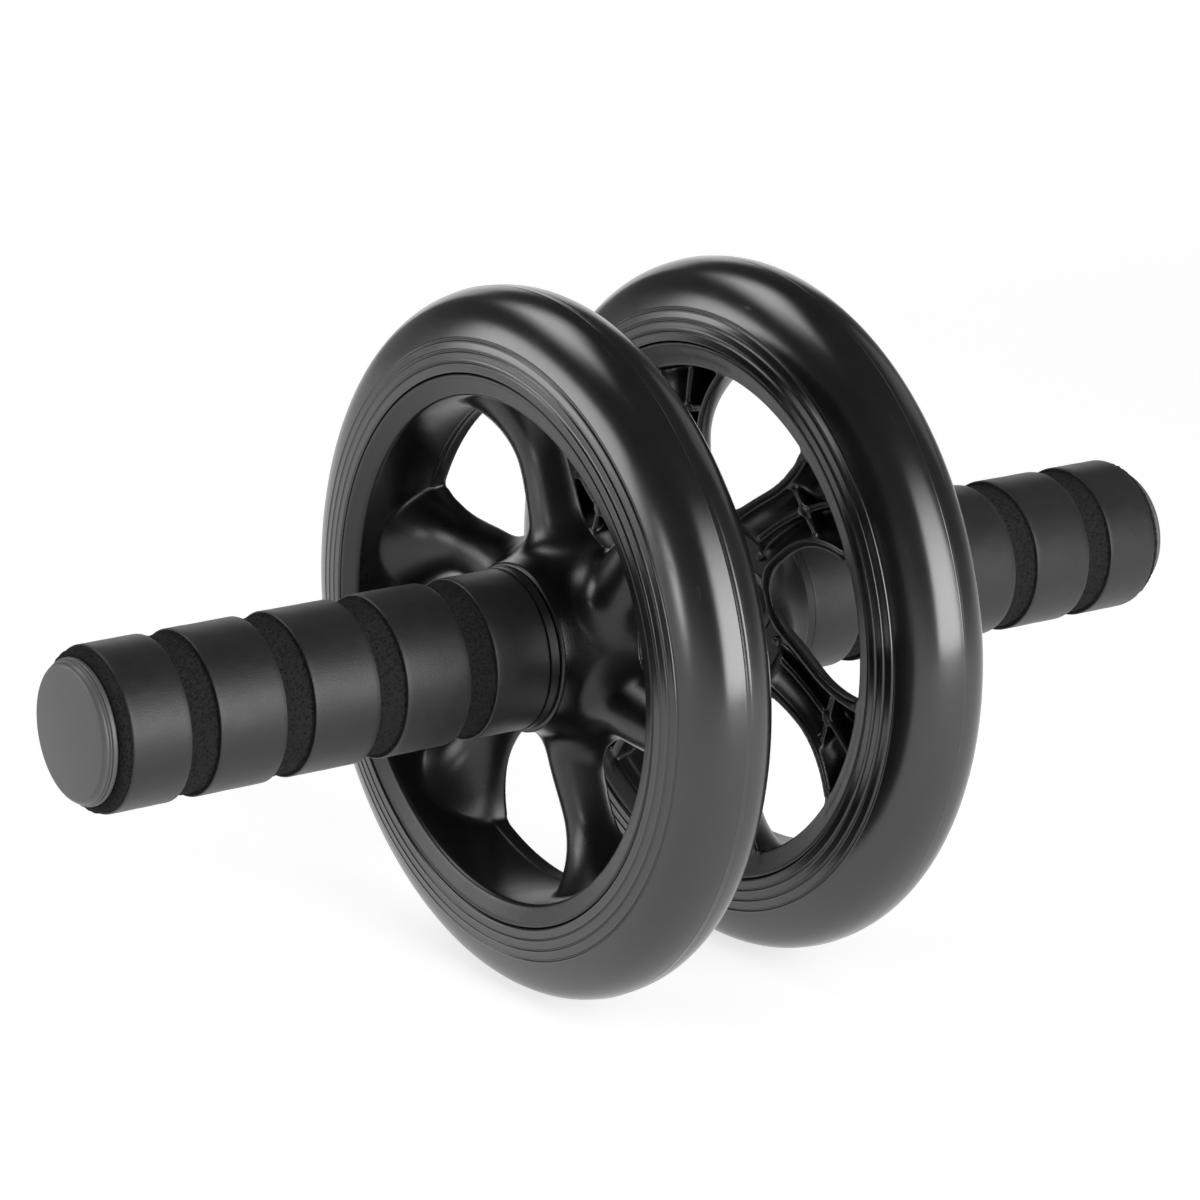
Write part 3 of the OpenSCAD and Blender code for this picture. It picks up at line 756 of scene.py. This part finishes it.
def foam_skin(name):
    """The satin skin of the lands, with fine closed pores."""
    m, nt, shader, place = material(name)
    big = noise(nt, place, 28)
    mid = noise(nt, place, 260, rough=0.62)
    pores = cells(nt, place, scale=1900, low=0.12, high=0.5)
    tone = mixed(nt, big, mid, 0.5)
    nt.links.new(ramp(nt, tone, [(0.3, SKIN_DARK), (0.7, SKIN_LIGHT)]), shader.inputs["Base Color"])
    nt.links.new(ramp(nt, tone, [(0.3, 0.42), (0.7, 0.52)]), shader.inputs["Roughness"])
    shader.inputs["Specular IOR Level"].default_value = 0.52
    shader.inputs["Sheen Weight"].default_value = 0.03
    shader.inputs["Sheen Roughness"].default_value = 0.4
    waves = bump(nt, shader, mid, strength=0.35, distance=0.00012)
    bump(nt, shader, pores, strength=0.45, distance=0.00005, under=waves)
    return m


def foam_cells(name):
    """The cut cells of the bands, dark in their middles: painted shade in each cell's hollow."""
    m, nt, shader, place = material(name)
    large = cells(nt, place, scale=1150, low=0.05, high=0.55)
    small = cells(nt, place, scale=2600, low=0.05, high=0.5)
    height = mixed(nt, large, small, 0.7)
    big = noise(nt, place, 90, rough=0.65)
    tone = times(nt, height, plus(nt, big, 0.5))
    # painted shade: the colour follows each cell's depth and is darkest in its middle, with a random tone
    # from big on top
    nt.links.new(ramp(nt, tone, [(0.15, CELL_PIT_SHADE), (0.95, CELL_LIGHT)]), shader.inputs["Base Color"])
    nt.links.new(ramp(nt, big, [(0.3, 0.86), (0.7, 1.0)]), shader.inputs["Roughness"])
    shader.inputs["Specular IOR Level"].default_value = 0.2
    bump(nt, shader, height, strength=1.0, distance=0.00035)
    return m


def steel(name, base, rough, turned=True):
    """Bare metal, with fine lines round the axle where it was turned, or an even grain."""
    m, nt, shader, place = material(name)
    if turned:
        grain = noise(nt, scaled(nt, place, (1.0, 0.02, 0.02)), 9000, detail=3)
    else:
        grain = noise(nt, place, 900, detail=3)
    big = noise(nt, place, 90)
    nt.links.new(ramp(nt, big, [(0.3, tint(base, 0.82)), (0.7, base)]), shader.inputs["Base Color"])
    nt.links.new(ramp(nt, grain, [(0.3, rough * 0.8), (0.7, rough * 1.35)]), shader.inputs["Roughness"])
    shader.inputs["Metallic"].default_value = 1.0
    bump(nt, shader, grain, strength=0.2, distance=0.00002)
    return m


def nylon(name):
    """Off-white moulded nylon, a little cloudy."""
    m, nt, shader, place = material(name)
    big = noise(nt, place, 60)
    fine = noise(nt, place, 2200, detail=2, rough=0.5)
    nt.links.new(ramp(nt, big, [(0.3, NYLON_DARK), (0.7, NYLON_LIGHT)]), shader.inputs["Base Color"])
    nt.links.new(ramp(nt, big, [(0.3, 0.42), (0.7, 0.58)]), shader.inputs["Roughness"])
    shader.inputs["Subsurface Weight"].default_value = 0.05
    bump(nt, shader, fine, strength=0.3, distance=0.00003)
    return m


MAT = {
    "tyre": rubber("tyre_rubber"),
    "rim": moulded_plastic("rim_plastic", RIM_BLACK, rough=0.29, grain=0.00003, specular=0.52, spread=0.25,
                           marks=0.12),
    "skin": foam_skin("foam_skin"),
    "cells": foam_cells("foam_cells"),
    "cap": moulded_plastic("cap_plastic", CAP_GREY, rough=0.38, grain=0.00005, specular=0.5, spread=0.10,
                           marks=0.3),
    "core": moulded_plastic("core_plastic", CORE_BLACK, rough=0.44, grain=0.00004, specular=0.5, spread=0.2,
                            marks=0.2),
    "tube": steel("tube_steel", TUBE_GREY, rough=0.34),
    "rod": steel("rod_steel", ROD_GREY, rough=0.24),
    "zinc": steel("zinc_steel", ZINC_GREY, rough=0.30, turned=False),
    "nylon": nylon("nylon"),
}


def paint(ob, *mats):
    """Puts these materials in the slots of a piece or solid."""
    ob.data.materials.clear()
    for mat in mats:
        ob.data.materials.append(mat)


# The pieces
RIM_VERTS, RIM_FACES = rim_mesh()
TYRE_OUTLINE = densify_crown(tyre_profile())
FOAM_OUTLINE = foam_profile()
CAP_OUTLINE = cap_profile()


def turned_rim(s):
    """Both rims are the same moulding, the left one turned half round, and both stand at the same phase."""
    x, y, z = RIM_VERTS[:, 0] * s, RIM_VERTS[:, 1], RIM_VERTS[:, 2] * s
    c, d = math.cos(PHASE), math.sin(PHASE)
    return np.stack([x, y * c - z * d, y * d + z * c], -1) * MM


def add_tyre(side, s, wheel):
    """One tyre, with its parting line where that side's mould halves met."""
    tyre = lathe(side + "_tyre_skin", TYRE_OUTLINE, s, TYRE_SEGMENTS, parting_line(WHEEL_X + PARTING[side]))
    paint(tyre, MAT["tyre"])
    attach(tyre, wheel)
    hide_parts(side + "_tyre")


def add_rim(side, s, wheel):
    """One rim with its spokes and hub."""
    rim = new_mesh(side + "_rim_moulding", turned_rim(s), RIM_FACES)
    paint(rim, MAT["rim"])
    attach(rim, wheel)
    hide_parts(side + "_rim")


def add_grip(side, s):
    """One foam grip, with its skin and its cut cells as two materials."""
    grip = lathe(side + "_foam_sleeve", FOAM_OUTLINE, s, FOAM_SEGMENTS, foam_relief)
    paint(grip, MAT["skin"], MAT["cells"])
    show_cells(grip)
    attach(grip, "axle")
    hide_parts(side + "_foam_grip")


def add_cap(side, s):
    """One end cap with its plug."""
    cap = lathe(side + "_cap_moulding", CAP_OUTLINE, s, CAP_SEGMENTS)
    paint(cap, MAT["cap"])
    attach(cap, "axle")
    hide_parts(side + "_end_cap")


def paint_solids():
    """Gives the solids that stay as they are their materials."""
    for side in SIDES:
        paint(nodes[side + "_hub_bush"], MAT["nylon"])
        paint(nodes[side + "_thrust_washer"], MAT["nylon"])
        paint(nodes[side + "_handle_core"], MAT["core"])
        paint(nodes[side + "_axle_washer"], MAT["zinc"])
        paint(nodes[side + "_axle_nut"], MAT["zinc"])
    paint(nodes["axle_rod"], MAT["rod"])
    paint(nodes["centre_spacer"], MAT["tube"])


for side, s in SIDES.items():
    add_tyre(side, s, side + "_wheel")
    add_rim(side, s, side + "_wheel")
    add_grip(side, s)
    add_cap(side, s)
paint_solids()


# Floor. Its own light, seen by the camera and in reflections, is white round the object and on the sweep
# behind it, and pale grey further out. Its diffuse part keeps the object's shadow.
FLOOR_GAP, FLOOR_HALF = 0.1, 6
FLOOR_Z = -(WHEEL_R + FLOOR_GAP) * MM
FLOOR_COLOUR = (0.52, 0.52, 0.52, 1)
FLOOR_NEAR, FLOOR_FAR = 0.72, 0.60
SWEEP_TURN, SWEEP_WIDENS = math.radians(54.2), 0.16
# where the white fades, in metres: round the object, at the sweep's sides, and at its start, which lies
# START_BEFORE in front of the object
DISC_FADE, SWEEP_FADE, START_FADE, START_BEFORE = (0.24, 0.52), (0.20, 0.60), (0.0, 0.5), 0.5
# where the white makes up for the lamps further off, as shares of FAR_SPAN
FAR_SPAN, FAR_FADE = 3.0, (0.12, 0.9)


def floor_level(nt, place):
    """Strength of the floor's own light at a place. The sweep runs away from the camera and widens."""
    distance = node(nt, "ShaderNodeVectorMath", operation="LENGTH")
    nt.links.new(place, distance.inputs[0])
    distance = distance.outputs["Value"]
    turn = node(nt, "ShaderNodeMapping", vector_type="TEXTURE")
    turn.inputs["Rotation"].default_value = (0, 0, SWEEP_TURN)
    nt.links.new(place, turn.inputs["Vector"])
    sep = nt.nodes.new("ShaderNodeSeparateXYZ")
    nt.links.new(turn.outputs[0], sep.inputs[0])
    along, across = sep.outputs[0], math_node(nt, "ABSOLUTE", sep.outputs[1])
    disc = fade(nt, distance, DISC_FADE, 1.0, 0.0)
    edge = math_node(nt, "SUBTRACT", across, times(nt, along, SWEEP_WIDENS))
    sweep = fade(nt, edge, SWEEP_FADE, 1.0, 0.0)
    behind = fade(nt, plus(nt, along, START_BEFORE), START_FADE, 0.0, 1.0)
    white = math_node(nt, "MAXIMUM", disc, times(nt, sweep, behind))
    # further off, where less of the lamps' light falls, the white part makes up for it
    far = fade(nt, math_node(nt, "DIVIDE", distance, FAR_SPAN), FAR_FADE, 0.0, 1.0)
    level = plus(nt, times(nt, white, FLOOR_NEAR - FLOOR_FAR), FLOOR_FAR)
    return plus(nt, level, times(nt, times(nt, far, white), 1.0 - FLOOR_NEAR))


def floor_material():
    """White or pale grey to look at, and lit by the lamps as a mid grey."""
    m = bpy.data.materials.new("floor_pale")
    m.use_nodes = True
    nt = m.node_tree
    nt.nodes.clear()
    out = nt.nodes.new("ShaderNodeOutputMaterial")
    diffuse = node(nt, "ShaderNodeBsdfDiffuse", Color=FLOOR_COLOUR)
    own = node(nt, "ShaderNodeEmission", Color=(1, 1, 1, 1))
    ray = nt.nodes.new("ShaderNodeLightPath").outputs
    mirrored_ray = math_node(nt, "MAXIMUM", ray["Is Glossy Ray"], ray["Is Transmission Ray"])
    seen = math_node(nt, "MAXIMUM", ray["Is Camera Ray"], mirrored_ray)
    place = nt.nodes.new("ShaderNodeTexCoord").outputs["Object"]
    nt.links.new(times(nt, seen, floor_level(nt, place)), own.inputs["Strength"])
    add = nt.nodes.new("ShaderNodeAddShader")
    nt.links.new(diffuse.outputs[0], add.inputs[0])
    nt.links.new(own.outputs[0], add.inputs[1])
    nt.links.new(add.outputs[0], out.inputs[0])
    return m


def add_floor():
    corners = [(a * FLOOR_HALF, b * FLOOR_HALF, FLOOR_Z) for a, b in ((-1, -1), (1, -1), (1, 1), (-1, 1))]
    floor = new_mesh("floor", corners, [[0, 1, 2, 3]])
    paint(floor, floor_material())


add_floor()


# World: a grey that darkens upwards
SKY = [(0.03, 0.36), (0.22, 0.15), (0.55, 0.07)]


def add_world():
    world = bpy.data.worlds.new("studio")
    scene.world = world
    world.use_nodes = True
    nt = world.node_tree
    nt.nodes.clear()
    out = nt.nodes.new("ShaderNodeOutputWorld")
    direction = nt.nodes.new("ShaderNodeTexCoord").outputs["Generated"]
    sep = nt.nodes.new("ShaderNodeSeparateXYZ")
    nt.links.new(direction, sep.inputs[0])
    sky = node(nt, "ShaderNodeBackground", Strength=1.0)
    nt.links.new(ramp(nt, sep.outputs[2], SKY), sky.inputs["Color"])
    nt.links.new(sky.outputs[0], out.inputs[0])


add_world()


# Lamps
def area_lamp(name, size, radiance, soft):
    """A lamp as bright to look at as radiance, where 1 is white. soft gives how much of its width or height
    each edge takes to die away: left, right, low and high."""
    lamp = bpy.data.lights.new(name, "AREA")
    lamp.shape = "RECTANGLE"
    lamp.size, lamp.size_y = size
    lamp.energy = radiance * math.pi * size[0] * size[1]
    lamp.use_nodes = True
    nt = lamp.node_tree
    nt.nodes.clear()
    out, glow = nt.nodes.new("ShaderNodeOutputLight"), nt.nodes.new("ShaderNodeEmission")
    place, sep = nt.nodes.new("ShaderNodeNewGeometry"), nt.nodes.new("ShaderNodeSeparateXYZ")
    nt.links.new(place.outputs["Parametric"], sep.inputs[0])
    level = None
    for i, width in enumerate(soft):
        inward = sep.outputs[i // 2]
        if i % 2:
            inward = math_node(nt, "SUBTRACT", 1.0, inward)
        rise = node(nt, "ShaderNodeMapRange", interpolation_type="SMOOTHSTEP")
        rise.inputs["From Max"].default_value = width
        nt.links.new(inward, rise.inputs["Value"])
        level = rise.outputs[0] if level is None else times(nt, level, rise.outputs[0])
    nt.links.new(level, glow.inputs["Strength"])
    nt.links.new(glow.outputs[0], out.inputs[0])
    ob = bpy.data.objects.new(name, lamp)
    scene.collection.objects.link(ob)
    ob.visible_camera = False
    return ob


def softbox(name, azimuth, elevation, distance, size, radiance, soft=(0.1, 0.1, 0.1, 0.1)):
    """A lamp in that direction from the axle, turned towards it."""
    a, e = math.radians(azimuth), math.radians(elevation)
    at = Vector((math.cos(a) * math.cos(e), math.sin(a) * math.cos(e), math.sin(e))) * distance
    ob = area_lamp(name, size, radiance, soft)
    ob.location = at
    ob.rotation_euler = (-at).to_track_quat("-Z", "Y").to_euler()


# the key stands upright in front, so that its reflection runs down the tyres
KEY_AT, KEY_SIZE = (0.045, -0.725, 0.382), (0.79, 0.94)
key = area_lamp("key", KEY_SIZE, radiance=6.6, soft=(0.19, 0.03, 0.05, 0.75))
key.location = KEY_AT
key.rotation_euler = (math.radians(90), 0, 0)

# the other lamps: azimuth and elevation in degrees, distance and size in metres, radiance and soft edges
softbox("back_top", 122, 55, 1.0, (0.9, 0.8), 3.9, (0.4, 0.4, 0.4, 0.4))
softbox("back_left", 141, 10, 1.3, (1.0, 0.5), 3.8, (0.15, 0.15, 0.2, 0.2))
softbox("left_strip", 175, 2, 1.1, (0.2, 0.36), 7.5, (0.4, 0.4, 0.3, 0.3))
softbox("backdrop", 60, 14, 1.9, (1.5, 0.9), 1.0)
softbox("right_fill", 5, 30, 1.5, (0.8, 0.8), 0.4)

scene.view_settings.view_transform = "Standard"
